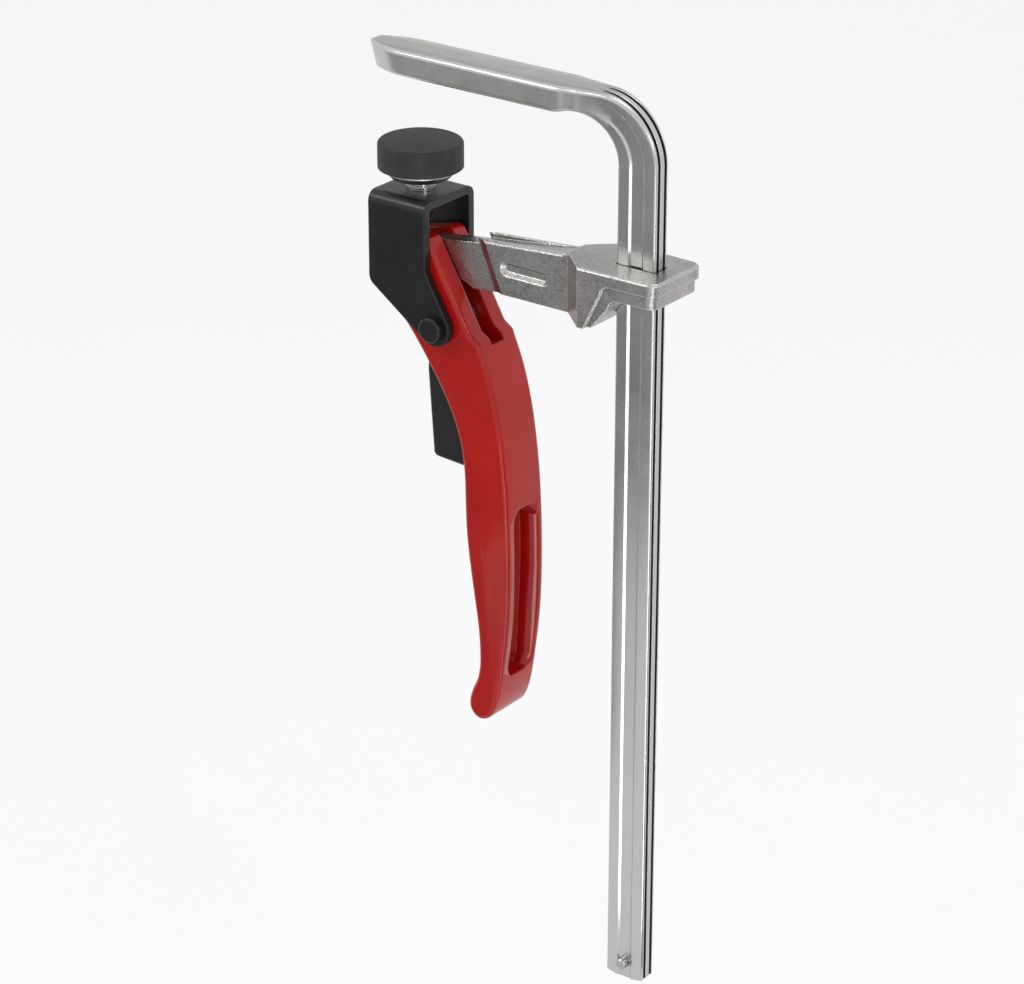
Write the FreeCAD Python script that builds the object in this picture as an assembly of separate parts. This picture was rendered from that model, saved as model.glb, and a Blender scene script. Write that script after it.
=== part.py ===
"""Quick release bar clamp with a ratchet lever, one STEP file for each piece.

Millimetres, +Z up. The origin is the centre of the fixed arm's clamping face, which lies
in the plane z = 0. The bar stands at +X and hangs down along -Z, and the clamp's plane of
symmetry is y = 0.
"""
import FreeCAD, Part
import math
import os

V = FreeCAD.Vector
os.makedirs("parts", exist_ok=True)

# Bar
throat = 60.0                 # from the middle of the clamping faces to the bar's inner side
bar_width = 11.0
bar_thickness = 5.0
bar_corner = 1.1
bar_length_below_face = 226.6
bar_end_sagitta = 1.0
groove_mouth = 4.6
groove_floor = 2.8
groove_depth = 0.7
edge_groove_width = 1.6
edge_groove_depth = 0.35

# Fixed arm and its bend
arm_reach_past_centre = 14.3
fixed_arm_width = 11.4
fixed_arm_height = 6.5
fixed_arm_relief = 0.9
fixed_arm_nose = 11.5
fixed_arm_rake = 1.9
bend_outer_radius = 16.0
bend_inner_radius = 11.5
jaw_face_end = 43.0           # where the clamping face ends and the relief begins

# Stop pin
stop_pin_radius = 1.5
stop_pin_proud = 1.9
stop_pin_height = 4.6         # above the bar's lower end

# Sliding arm
bar_clearance = 0.25
collar_top = -34.2
collar_half_width = 10.3
collar_flange_height = 3.2
collar_rim_height = 3.2
collar_rim_inset = 0.6
collar_end_wall = 5.2
collar_corner = 2.6
boss_height = 15.0            # from the collar's top to the tip of the boss
boss_width = 9.0
casting_bevel = 0.45
arm_half_thickness = 3.5
tongue_half_thickness = 2.2
arm_flare_start = 46.8
arm_flare_run = 7.6
arm_top_slope = 0.075
arm_depth = 14.6
side_recess_length = 14.4
side_recess_width = 3.6
side_recess_depth = 1.0
side_recess_middle = 34.0

# Pivots
pivot_x = -2.5
pivot_z = -48.5
pivot_pin_radius = 3.0
rivet_x = 11.2
rivet_z = -60.0
rivet_radius = 2.5
rivet_head_radius = 3.2
rivet_head_height = 1.9
running_fit = 0.05
side_clearance = 0.3

# Ratchet
ratchet_radius = 8.0
tooth_depth = 0.9
tooth_pitch = 6.0             # degrees
tooth_first = 240.0           # degrees about the pivot, from +X towards +Z
tooth_land = 1.4              # degrees of the arc left standing between notches
tooth_count = 12
pawl_lift = 0.15              # the nose stands this far off the tooth tips
pawl_eye_radius = 4.4
pawl_nose_angle = 285.0

# Lever handle
handle_width = 15.0
handle_edge = 1.2
fork_slot = 5.0
channel_width = 10.0
channel_front_wall = 3.6
pocket_width = 9.4
pocket_top = -104.5
pocket_bottom = -152.5
pocket_depth = 5.4
head_radius = 7.8

# Yoke and pad
yoke_sheet = 2.0
yoke_half_length = 8.6
yoke_foot_radius = 4.6
yoke_web_top = -28.8
yoke_bend = 2.6
pad_top = -16.9
pad_cap_wall = 1.5
pad_radius = 9.0
pad_height = 7.4
ball_radius = 4.0
ball_centre_z = -23.6
stud_radius = 2.5
ring_wire = 0.5

# Release lever and spring
paddle_width = 9.4
paddle_toe_x = 6.8
paddle_toe_z = -96.4
paddle_slot_clearance = 0.05
paddle_pin_radius = 1.25
spring_radius = 2.2
spring_wire = 0.35
spring_turns = 5
spring_z = -88.0
spring_seat_depth = 3.0

bar_inner = throat
bar_outer = throat + bar_width
bar_middle = throat + bar_width / 2
half_bar = bar_thickness / 2
pivot = (pivot_x, pivot_z)
rivet = (rivet_x, rivet_z)


def polar(centre, radius, degrees):
    """Point at an angle about a centre, in the XZ plane, from +X towards +Z."""
    a = math.radians(degrees)
    return (centre[0] + radius * math.cos(a), centre[1] + radius * math.sin(a))


def edges_of(start, steps, place, closed=True):
    """Edges through a list of steps: a point for a line, or (through, end) for an arc."""
    edges = []
    here = start
    for step in steps:
        if isinstance(step[0], tuple):
            through, end = step
            edges.append(Part.Arc(place(*here), place(*through), place(*end)).toShape())
        else:
            end = step
            edges.append(Part.LineSegment(place(*here), place(*end)).toShape())
        here = end
    if closed and math.dist(here, start) > 1e-6:
        edges.append(Part.LineSegment(place(*here), place(*start)).toShape())
    return edges


def side_face(start, *steps, y=0.0):
    """Flat face in the XZ plane at y."""
    edges = edges_of(start, steps, lambda x, z: V(x, y, z))
    return Part.Face(Part.Wire(edges))


def side_plate(face, low, high):
    """Prism of an XZ face between two values of y."""
    moved = face.copy()
    moved.translate(V(0, low, 0))
    return moved.extrude(V(0, high - low, 0))


def plan_face(start, *steps, z=0.0):
    """Flat face in the XY plane at z."""
    edges = edges_of(start, steps, lambda x, y: V(x, y, z))
    return Part.Face(Part.Wire(edges))


def cross_pin(centre, radius, low, high):
    """Round bar along Y through a point of the XZ plane."""
    return Part.makeCylinder(radius, high - low, V(centre[0], low, centre[1]), V(0, 1, 0))


def both_sides(solid):
    """A solid and its mirror image in the plane y = 0."""
    return [solid, solid.mirror(V(0, 0, 0), V(0, 1, 0))]


def edges_where(solid, test):
    """Edges of a solid whose every vertex passes the test."""
    return [e for e in solid.Edges if e.Vertexes and all(test(v.Point) for v in e.Vertexes)]


def rounded(width, height, corner):
    """Steps round a rectangle with rounded corners, centred on the origin."""
    a = width / 2
    b = height / 2
    c = corner
    k = c * (1 - math.sqrt(0.5))
    start = (-a + c, -b)
    steps = [
        (a - c, -b), ((a - k, -b + k), (a, -b + c)),
        (a, b - c), ((a - k, b - k), (a - c, b)),
        (-a + c, b), ((-a + k, b - k), (-a, b - c)),
        (-a, -b + c), ((-a + k, -b + k), (-a + c, -b)),
    ]
    return start, steps


def section_at(centre, degrees, width, height, corner):
    """Rounded rectangle square to the bar's path: width lies across the path in the XZ
    plane, height along Y, and degrees is how far the path has turned from the vertical."""
    a = math.radians(degrees)
    across = V(math.cos(a), 0, math.sin(a))
    middle = V(centre[0], 0, centre[1])
    start, steps = rounded(width, height, corner)
    return Part.Wire(edges_of(start, steps, lambda u, v: middle + across * u + V(0, v, 0)))


def bend_point(degrees, inward):
    """Point on a ray from the bend's inner centre: 0 degrees points at the bar's side and
    90 at the arm's, and inward runs from the outer skin (0) to the inner skin (1)."""
    cx = bar_inner - bend_inner_radius
    cz = fixed_arm_relief - bend_inner_radius
    ux = math.cos(math.radians(degrees))
    uz = math.sin(math.radians(degrees))
    ox = bar_outer - bend_outer_radius - cx
    oz = fixed_arm_height - bend_outer_radius - cz
    along = ox * ux + oz * uz
    reach = along + math.sqrt(along ** 2 - ox ** 2 - oz ** 2 + bend_outer_radius ** 2)
    if reach * uz < oz:
        reach = (bar_outer - cx) / ux
    elif reach * ux < ox:
        reach = (fixed_arm_height - cz) / uz
    reach += (bend_inner_radius - reach) * inward
    return (cx + reach * ux, cz + reach * uz)


def bend_section(degrees, height, corner):
    """Section of the bend on one of those rays."""
    far = bend_point(degrees, 0)
    near = bend_point(degrees, 1)
    middle = bend_point(degrees, 0.5)
    return section_at(middle, degrees, math.dist(far, near), height, corner)


def groove_section(centre, degrees, rise, narrowing):
    """Trapezium that cuts one wide side's groove, on the side of +Y."""
    a = math.radians(degrees)
    across = V(math.cos(a), 0, math.sin(a))
    middle = V(centre[0], 0, centre[1])
    floor = half_bar - groove_depth + rise
    splay = (groove_mouth - groove_floor) / 2 / groove_depth
    foot = groove_floor / 2 * narrowing
    mouth = foot + splay * 3.0
    corners = [(-foot, floor), (foot, floor), (mouth, floor + 3.0), (-mouth, floor + 3.0)]
    points = [middle + across * u + V(0, v, 0) for u, v in corners]
    return Part.makePolygon(points + [points[0]])


def clamp_bar():
    """Profiled bar, forged over at the top into the fixed arm."""
    top = fixed_arm_relief - bend_inner_radius
    bottom = -bar_length_below_face
    low_section = section_at((bar_middle, bottom), 0, bar_width, bar_thickness, bar_corner)
    straight = Part.Face(low_section).extrude(V(0, 0, top - bottom))

    # The bend and the arm are drawn out of the bar: thinner one way, wider the other
    sections = []
    for degrees in range(0, 81, 10):
        widening = 3.0 * (degrees / 80) ** 2.2
        sections.append(bend_section(degrees, bar_thickness + widening, bar_corner))
    arm_middle = fixed_arm_height / 2
    for x, width, relief in ((48.0, 9.6, 0.8), (45.5, 10.7, 0.35), (jaw_face_end, fixed_arm_width, 0.0)):
        sections.append(section_at((x, arm_middle + relief / 2), 90, fixed_arm_height - relief, width,
                                   bar_corner))
    bend = Part.makeLoft(sections, True, True)

    # Flat arm with a long rounded nose, whose end face rakes outwards towards the top
    half = fixed_arm_width / 2
    tip = -arm_reach_past_centre + fixed_arm_rake
    shoulder = tip + fixed_arm_nose
    lift = V(-fixed_arm_rake, 0, fixed_arm_height)
    bulge = (tip + 0.27 * fixed_arm_nose, 0.68 * half)
    far = jaw_face_end + fixed_arm_rake
    plan = plan_face((far, -half), (shoulder, -half),
                     ((bulge[0], -bulge[1]), (tip, 0)),
                     ((bulge[0], bulge[1]), (shoulder, half)), (far, half))
    nose = plan.extrude(lift)
    rail = Part.Face(section_at((jaw_face_end, arm_middle), 90, fixed_arm_height, fixed_arm_width,
                                bar_corner))
    nose = nose.common(rail.extrude(V(-100, 0, 0)))
    bar = straight.fuse([bend, nose]).removeSplitter()

    # Hole for the stop pin, then grooves in both wide sides, which run out in the bend
    bar = bar.cut(cross_pin((bar_middle, bottom + stop_pin_height), stop_pin_radius, -10, 10))
    runout = [groove_section((bar_middle, bottom - 1), 0, 0.0, 1.0)]
    for degrees in range(0, 91, 10):
        share = degrees / 90
        runout.append(groove_section(bend_point(degrees, 0.5), degrees, 4.0 * share ** 2.4, 1 - 0.4 * share))
    bar = bar.cut(both_sides(Part.makeLoft(runout, True, True)))

    # Shallow flutes down both narrow sides
    for x, inward in ((bar_inner, 1), (bar_outer, -1)):
        a = edge_groove_width / 2
        corners = [(-0.5, a + 0.5), (edge_groove_depth, a - 0.35), (edge_groove_depth, 0.35 - a),
                   (-0.5, -a - 0.5)]
        points = [V(x + inward * u, v, bottom - 1) for u, v in corners]
        flute = Part.Face(Part.makePolygon(points + [points[0]]))
        bar = bar.cut(flute.extrude(V(0, 0, top - 2 - bottom)))

    # Slightly bowed lower end and the hole for the stop pin
    end_radius = (bar_width ** 2 / 4 + bar_end_sagitta ** 2) / (2 * bar_end_sagitta)
    round_end = Part.makeCylinder(end_radius, 20, V(bar_middle, -10, bottom + end_radius), V(0, 1, 0))
    foot_box = Part.makeBox(bar_width + 2, 20, 8, V(bar_inner - 1, -10, bottom - 1))
    return bar.cut(foot_box.cut(round_end))


def stop_pin():
    """Pressed pin that keeps the sliding arm on the bar, with chamfered ends."""
    half = half_bar + stop_pin_proud
    pin = cross_pin((bar_middle, -bar_length_below_face + stop_pin_height), stop_pin_radius, -half, half)
    return pin.makeChamfer(0.3, [e for e in pin.Edges if e.Curve.TypeId == "Part::GeomCircle"])


def arm_top_at(x):
    """Height of the sliding arm's top edge."""
    return collar_top - arm_top_slope * (arm_flare_start + arm_flare_run - x)


def slot_wire(middle, half_length, radius, y):
    """Oblong outline in the XZ plane."""
    x, z = middle
    a = half_length - radius
    edges = edges_of((x - a, z - radius),
                     [(x + a, z - radius), ((x + a + radius, z), (x + a, z + radius)),
                      (x - a, z + radius), ((x - a - radius, z), (x - a, z - radius))],
                     lambda u, w: V(u, y, w))
    return Part.Wire(edges)


def sliding_arm():
    """Cast arm: flanged collar round the bar, boss under it, and a tongue with ratchet teeth."""
    collar_end = bar_outer + collar_end_wall
    flange_low = collar_top - collar_flange_height
    rim_low = flange_low - collar_rim_height
    tip_z = collar_top - boss_height
    boss_right = bar_inner - bar_clearance - 2.0
    arm_low = collar_top - arm_depth - 0.4
    flare_end = arm_flare_start + arm_flare_run
    w = collar_half_width
    t = arm_half_thickness

    def collar_plan(inset, z):
        """Plan of the collar with its flared root and rounded outer corners."""
        c = collar_corner
        side = w - inset
        end = collar_end - inset
        k = c * (1 - math.sqrt(0.5))
        return plan_face((arm_flare_start + inset, -t), (flare_end, -side), (end - c, -side + 0.5),
                         ((end - k, -side + 0.5 + k), (end, -side + 0.5 + c)),
                         (end, side - 0.5 - c),
                         ((end - k, side - 0.5 - k), (end - c, side - 0.5)),
                         (flare_end, side), (arm_flare_start + inset, t), z=z)

    deep = 30.0
    upper_side = side_face((arm_flare_start - 1, collar_top), (collar_end + 1, collar_top),
                           (collar_end + 1, flange_low), (bar_inner + 3.4, flange_low),
                           ((bar_inner + 1.6, flange_low - 0.6), (bar_inner + 0.8, flange_low - 2.2)),
                           (boss_right - 1.6, tip_z), (boss_right - 4.6, tip_z + 0.2),
                           (arm_flare_start - 1, arm_low))
    upper = collar_plan(0, collar_top - deep).extrude(V(0, 0, deep + 1))
    upper = upper.common(side_plate(upper_side, -w - 1, w + 1))
    lower_side = side_face((arm_flare_start - 1, flange_low + 1), (collar_end + 1, flange_low + 1),
                           (collar_end + 1, rim_low), (bar_inner + 5.4, rim_low),
                           ((bar_inner + 3.6, rim_low - 0.6), (bar_inner + 2.7, rim_low - 2.2)),
                           (boss_right + 0.3, tip_z + 0.6), (boss_right - 4.0, tip_z + 0.4),
                           (arm_flare_start - 1, arm_low + 0.2))
    lower = collar_plan(collar_rim_inset, collar_top - deep).extrude(V(0, 0, deep))
    lower = lower.common(side_plate(lower_side, -w, w))

    # Arm plate, thinned to the tongue along a slanting bevel beside the lever's head
    top_root = arm_top_at(arm_flare_start + 4)
    thick_top = arm_top_at(22.0)
    arm_points = [(arm_flare_start + 4, top_root), (arm_flare_start + 4, arm_low),
                  (28.0, arm_low - 0.1)]
    outer_poly = arm_points + [(27.2, arm_low - 0.1), (22.0, thick_top)]
    inner_poly = arm_points + [(24.4, arm_low - 0.2), (19.2, arm_top_at(19.2))]

    def loop(points, y):
        """Closed polygon in the XZ plane at y."""
        corners = [V(x, y, z) for x, z in points]
        return Part.makePolygon(corners + [corners[0]])

    wedge = Part.makeLoft([loop(inner_poly, -tongue_half_thickness), loop(outer_poly, -t)], True, True)
    solids = both_sides(wedge)

    # Tongue: its end is struck about the lever's pivot
    top_left = polar(pivot, ratchet_radius, 118)
    low_right = polar(pivot, ratchet_radius, tooth_first + tooth_pitch * tooth_count + 2)
    tongue = side_face((arm_flare_start, arm_top_at(arm_flare_start)), top_left,
                       (polar(pivot, ratchet_radius, 200), low_right),
                       ((low_right[0] + 2.6, arm_low - 1.7), (17.6, arm_low - 1.2)),
                       (28.0, arm_low - 0.1), (arm_flare_start, arm_low))
    solids.append(side_plate(tongue, -tongue_half_thickness, tongue_half_thickness))
    body = upper.fuse([lower] + solids).removeSplitter()

    # Ratchet teeth: the steep side of each faces the way the lever closes
    notches = []
    for i in range(tooth_count):
        at = tooth_first + i * tooth_pitch
        root = ratchet_radius - tooth_depth
        crest = at + tooth_pitch - tooth_land
        corners = [polar(pivot, root, at), polar(pivot, ratchet_radius + 0.6, at),
                   polar(pivot, ratchet_radius + 0.6, crest), polar(pivot, ratchet_radius, crest)]
        notches.append(side_plate(side_face(corners[0], *corners[1:]), -6, 6))
    body = body.cut(notches)

    # Oblong recess in each side
    middle = (side_recess_middle, arm_top_at(side_recess_middle) - 6.9)
    half = side_recess_length / 2
    outer = slot_wire(middle, half + 0.25, side_recess_width / 2 + 0.25, -t - 0.25)
    inner = slot_wire(middle, half - side_recess_depth, side_recess_width / 2 - side_recess_depth,
                      -t + side_recess_depth)
    body = body.cut(both_sides(Part.makeLoft([outer, inner], True, True)))

    # Bevels along the arm's top, window for the bar, and the pivot bore
    slope = math.degrees(math.atan(arm_top_slope))
    knife = Part.makeBox(40, 2, 2, V(-40, -1, -1))
    knife.rotate(V(0, 0, 0), V(1, 0, 0), 45)
    knife.rotate(V(0, 0, 0), V(0, 1, 0), -slope)
    knife.translate(V(arm_flare_start - 1.5, -t - 0.4, arm_top_at(arm_flare_start - 1.5) + 0.4))
    body = body.cut(both_sides(knife))
    window = Part.makeBox(bar_width + 2 * bar_clearance, bar_thickness + 2 * bar_clearance, 40,
                          V(bar_inner - bar_clearance, -half_bar - bar_clearance, collar_top - 30))
    body = body.cut(window)
    bore = cross_pin(pivot, pivot_pin_radius + running_fit, -9, 9)
    body = body.cut(bore)
    rim = edges_where(body, lambda p: abs(p.z - collar_top) < 0.01 and (abs(p.y) > 5 or p.x > bar_outer + 2))
    return body.makeChamfer(casting_bevel, rim)


def handle_blank():
    """Solid side profile of the lever: head, bowed grip and thickened toe."""
    grip = [
        (22.9, -62.2), (24.8, -66.9), (29.1, -82.0), (31.4, -100.0), (32.1, -118.0), (31.4, -138.0),
        (29.8, -150.4), (27.6, -160.0), (25.7, -163.0), (22.7, -164.0), (20.1, -162.0), (20.3, -157.0),
        (22.2, -152.4), (22.9, -147.0), (20.7, -127.0), (18.5, -107.0), (17.9, -93.5), (15.0, -83.4),
        (7.3, -70.4), (-1.0, -60.1), polar(pivot, head_radius, 222),
    ]
    curve = Part.BSplineCurve()
    lead = math.radians(222)
    curve.interpolate(Points=[V(x, 0, z) for x, z in grip], InitialTangent=V(0.30, 0, -0.95),
                      FinalTangent=V(math.sin(lead), 0, -math.cos(lead)))
    lean = 14
    brow = polar(pivot, head_radius, 90 + lean)
    corner = (7.5, brow[1] + (7.5 - brow[0]) * math.tan(math.radians(lean)))
    rest = edges_of(grip[-1], [(polar(pivot, head_radius, 160), brow), corner, (20.3, -60.5), grip[0]],
                    lambda x, z: V(x, 0, z), closed=False)
    arcs = [arc.toShape() for arc in curve.toBiArcs(0.04)]
    blank = side_plate(Part.Face(Part.Wire(arcs + rest)), -handle_width / 2, handle_width / 2)
    for at, radius in ((corner, 2.5), ((20.3, -60.5), 1.2), (grip[0], 1.8)):
        edge = [e for e in blank.Edges if e.BoundBox.XLength < 0.01 and e.BoundBox.ZLength < 0.01
                and math.dist(at, (e.BoundBox.XMin, e.BoundBox.ZMin)) < 0.05]
        blank = blank.makeFillet(radius, edge)
    return blank.makeFillet(handle_edge, [e for e in blank.Edges if e.BoundBox.YLength < 0.01])


def lever_handle():
    """Die-cast lever with a forked head, a rear channel and a front pocket."""
    fork = side_face((23.6, -61.6), ((23.2, -63.9), (20.8, -64.4)), (19.0, -66.0), (-20.0, -66.0),
                     (-20.0, -30.0), (40.0, -30.0), (40.0, -50.0))
    body = handle_blank().cut(side_plate(fork, -fork_slot / 2, fork_slot / 2))
    wall = channel_front_wall
    channel = side_face((2.0, -65.2), (14.5, -65.2), ((20.4, -68.2), (23.2, -76.0)),
                        ((26.6 - wall + 3.6, -87.0), (31.2 - wall, -98.2)),
                        ((27.0, -101.0), (24.0, -101.2)), (10.0, -101.2), (0.0, -90.0))
    body = body.cut(side_plate(channel, -channel_width / 2, channel_width / 2))
    body = body.cut(front_pocket())
    for centre, radius in ((pivot, pivot_pin_radius), (rivet, rivet_radius)):
        body = body.cut(cross_pin(centre, radius, -20, 20))
    return body.removeSplitter()


def front_pocket():
    """Blind pocket in the front of the grip, whose floor follows the grip's bow."""
    half = pocket_width / 2
    top = pocket_top
    low = pocket_bottom
    side = side_face((40.0, top), (31.7 - pocket_depth, top - 1.0),
                     ((32.1 - pocket_depth, -120.0), (31.4 - pocket_depth, -137.0)),
                     (29.8 - pocket_depth + 1.0, low + 1.4), (36.0, low), (40.0, low))
    block = side_plate(side, -half, half)
    oblong = Part.makeBox(30, pocket_width, top - low - 2 * half, V(10, -half, low + half))
    ends = [Part.makeCylinder(half, 30, V(10, 0, z), V(1, 0, 0)) for z in (top - half, low + half)]
    return block.common(oblong.fuse(ends).removeSplitter())


def lever_pivot_pin():
    """Ground pin pressed into both cheeks of the fork."""
    half = handle_width / 2 - 0.2
    pin = cross_pin(pivot, pivot_pin_radius, -half, half)
    return pin.makeChamfer(0.4, [e for e in pin.Edges if e.Curve.TypeId == "Part::GeomCircle"])


yoke_inside = handle_width / 2 + side_clearance
yoke_outside = yoke_inside + yoke_sheet


def pad_yoke():
    """Folded steel yoke: a web under the pad and two cheeks that taper to the rivet."""
    a = yoke_half_length
    start, steps = (-yoke_outside, -80.0), [
        (-yoke_outside, yoke_web_top - yoke_bend),
        ((-yoke_outside + 0.3 * yoke_bend, yoke_web_top - 0.3 * yoke_bend),
         (-yoke_outside + yoke_bend, yoke_web_top)),
        (yoke_outside - yoke_bend, yoke_web_top),
        ((yoke_outside - 0.3 * yoke_bend, yoke_web_top - 0.3 * yoke_bend),
         (yoke_outside, yoke_web_top - yoke_bend)),
        (yoke_outside, -80.0), (yoke_inside, -80.0),
        (yoke_inside, yoke_web_top - yoke_sheet - 0.6),
        (yoke_inside - 0.6, yoke_web_top - yoke_sheet),
        (-yoke_inside + 0.6, yoke_web_top - yoke_sheet),
        (-yoke_inside, yoke_web_top - yoke_sheet - 0.6), (-yoke_inside, -80.0)]
    channel = Part.Face(Part.Wire(edges_of(start, steps, lambda y, z: V(-30, y, z)))).extrude(V(60, 0, 0))
    r = yoke_foot_radius
    right = polar(rivet, r, 30)
    left = polar(rivet, r, 235)
    rise_right = (right[0] - a) / math.tan(math.radians(30))
    rise_left = (left[0] + a) / math.tan(math.radians(55))
    side = side_face(left, (polar(rivet, r, 310), right), (a, right[1] + rise_right),
                     (a, -20.0), (-a, -20.0), (-a, left[1] + rise_left))
    yoke = channel.common(side_plate(side, -20, 20))
    corners = [e for e in yoke.Edges
               if e.BoundBox.XLength < 0.01 and e.BoundBox.ZLength < 0.01 and e.BoundBox.YLength < 2.5
               and e.BoundBox.ZMax < yoke_web_top - 5 and abs(abs(e.BoundBox.XMax) - a) < 0.01]
    yoke = yoke.makeFillet(3.0, corners)
    yoke = yoke.cut(cross_pin(rivet, rivet_radius + running_fit, -20, 20))
    hole = Part.makeCylinder(stud_radius, 10, V(0, 0, yoke_web_top - 5), V(0, 0, 1))
    return yoke.cut(hole)


def yoke_rivet():
    """Headed rivet through yoke, cheeks and pawl: the pivot of both yoke and release."""
    reach = yoke_outside + 0.12
    tip = reach + rivet_head_height
    shank = cross_pin(rivet, rivet_radius, -reach, reach)
    heads = []
    for low, high, face in ((-tip, -reach, -tip), (reach, tip, tip)):
        head = cross_pin(rivet, rivet_head_radius, low, high)
        ring = [e for e in head.Edges if e.Curve.TypeId == "Part::GeomCircle"
                and abs(e.BoundBox.YMax - face) < 0.01]
        heads.append(head.makeFillet(0.5, ring))
    return shank.fuse(heads).removeSplitter()


def pad_stud():
    """Ball stud, riveted over under the yoke's web."""
    web_low = yoke_web_top - yoke_sheet
    ball = Part.makeSphere(ball_radius, V(0, 0, ball_centre_z))
    neck = Part.makeCylinder(stud_radius, ball_centre_z - web_low + 0.8, V(0, 0, web_low - 0.8))
    collar = Part.makeCylinder(stud_radius + 1.3, 1.0, V(0, 0, yoke_web_top))
    foot = Part.makeCone(stud_radius + 0.4, stud_radius + 1.2, 1.0, V(0, 0, web_low - 1.0))
    return ball.fuse([neck, collar, foot]).removeSplitter()


pad_low = pad_top - pad_cap_wall - pad_height


def pressure_pad():
    """Steel pad that swivels on the ball."""
    disc = Part.makeCylinder(pad_radius, pad_height, V(0, 0, pad_low))
    rims = [e for e in disc.Edges if e.Curve.TypeId == "Part::GeomCircle" and e.BoundBox.ZMax < pad_low + 1]
    disc = disc.makeChamfer(1.6, rims)
    socket = Part.makeSphere(ball_radius + running_fit, V(0, 0, ball_centre_z))
    mouth = Part.makeCone(stud_radius + 2.2, stud_radius + 1.1, 2.4, V(0, 0, pad_low - 0.01))
    return disc.cut(socket).cut(mouth)


def pad_cap():
    """Soft cap snapped over the pad to spare the work."""
    skirt = pad_cap_wall
    low = pad_low + 2.4
    cap = Part.makeCylinder(pad_radius + skirt, pad_top - low, V(0, 0, low))
    rims = [e for e in cap.Edges if e.Curve.TypeId == "Part::GeomCircle" and e.BoundBox.ZMin > low + 1]
    cap = cap.makeFillet(0.8, rims)
    return cap.cut(Part.makeCylinder(pad_radius, pad_height - 2.4, V(0, 0, low)))


def ratchet_pawl():
    """Hardened pawl: an eye on the rivet, a nose at the teeth and a tail in the paddle."""
    t = tongue_half_thickness
    gap = ratchet_radius + pawl_lift
    nose = polar(pivot, gap, pawl_nose_angle)
    back = polar(pivot, gap + 0.1, pawl_nose_angle + 16)
    heel = polar(pivot, gap + 3.6, pawl_nose_angle - 2)
    eye_top = polar(rivet, pawl_eye_radius, 118)
    eye_front = polar(rivet, pawl_eye_radius, -20)
    side = side_face(nose, (polar(pivot, gap + 0.35, pawl_nose_angle + 8), back),
                     (polar(rivet, pawl_eye_radius + 0.5, 142), eye_top),
                     (polar(rivet, pawl_eye_radius, 50), eye_front),
                     (14.6, -70.0), (15.2, -80.0), (9.6, -80.0), (7.8, -68.0),
                     (polar(rivet, pawl_eye_radius + 0.3, 205), heel))
    pawl = side_plate(side, -t, t)
    pawl = pawl.cut(cross_pin(rivet, rivet_radius + running_fit, -9, 9))
    return pawl.cut(cross_pin((12.4, -76.0), paddle_pin_radius, -9, 9))


def release_paddle():
    """Black squeeze paddle on the pawl's tail, with a blind seat for the spring."""
    half = paddle_width / 2
    x = paddle_toe_x
    z = paddle_toe_z
    corners = [((5.4, -68.2), 2.0), ((5.1, -73.5), 12.0), ((x, z), 1.5), ((x + 14.2, z - 0.8), 1.2),
               ((19.9, -83.0), 15.0), ((15.6, -68.2), 3.0)]
    points = [at for at, _ in corners]
    paddle = side_plate(side_face(points[0], *points[1:]), -half, half)
    for at, radius in corners:
        edge = [e for e in paddle.Edges if e.BoundBox.XLength < 0.01 and e.BoundBox.ZLength < 0.01
                and math.dist(at, (e.BoundBox.XMin, e.BoundBox.ZMin)) < 0.05]
        paddle = paddle.makeFillet(radius, edge)
    paddle = paddle.makeFillet(0.9, [e for e in paddle.Edges if e.BoundBox.YLength < 0.01])
    slot = tongue_half_thickness + paddle_slot_clearance
    room = side_face((6.0, -60.0), (7.6, -68.0), (9.4, -80.2), (15.4, -80.2), (14.8, -70.0),
                     (16.0, -60.0))
    paddle = paddle.cut(side_plate(room, -slot, slot))
    paddle = paddle.cut(cross_pin((12.4, -76.0), paddle_pin_radius, -9, 9))
    front = 20.2
    seat = Part.makeCylinder(spring_radius + spring_wire + 0.25, 20, V(front - spring_seat_depth, 0, spring_z),
                             V(1, 0, 0))
    return paddle.cut(seat)


def paddle_pin():
    """Roll pin that ties the paddle to the pawl's tail."""
    half = paddle_width / 2 - 0.1
    return cross_pin((12.4, -76.0), paddle_pin_radius, -half, half)


def release_spring():
    """Compression spring between the paddle and the floor of the lever's channel."""
    start = 20.2 - spring_seat_depth + spring_wire + 0.05
    end = 26.1 - spring_wire
    pitch = (end - start) / spring_turns
    quarters = 4 * spring_turns

    def at(turn):
        """Point of the wire's centre line after so many turns."""
        a = 2 * math.pi * turn
        return V(start + pitch * turn, spring_radius * math.cos(a), spring_z + spring_radius * math.sin(a))

    arcs = []
    for i in range(quarters):
        arcs.append(Part.Arc(at(i / 4), at((i + 0.5) / 4), at((i + 1) / 4)).toShape())
    path = Part.Wire(arcs)
    tangent = path.Edges[0].tangentAt(path.Edges[0].FirstParameter)
    ring = Part.Wire(Part.makeCircle(spring_wire, at(0), tangent))
    print("release spring: gap between turns %.2f mm" % (pitch - 2 * spring_wire))
    return path.makePipeShell([ring], True, False)


PIECES = [
    clamp_bar, stop_pin, sliding_arm, lever_handle, lever_pivot_pin, pad_yoke, yoke_rivet,
    pad_stud, pressure_pad, pad_cap, ratchet_pawl, release_paddle, paddle_pin, release_spring,
]

if __name__ == "__main__":
    for make in PIECES:
        shape = make()
        name = make.__name__
        solids = shape.Solids
        if not shape.isValid() or not solids:
            print("not valid:", name)
        print("%-18s %d solid, %.0f mm3" % (name, len(solids), shape.Volume))
        shape.exportStep("parts/" + name + ".step")
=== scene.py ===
"""Looks of the quick release bar clamp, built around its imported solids. Lengths are metres."""
import logging
import math
from dataclasses import dataclass, field, replace
from enum import Enum
from typing import Any, Iterable

import bmesh
import bpy
from mathutils import Matrix, Vector


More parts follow.
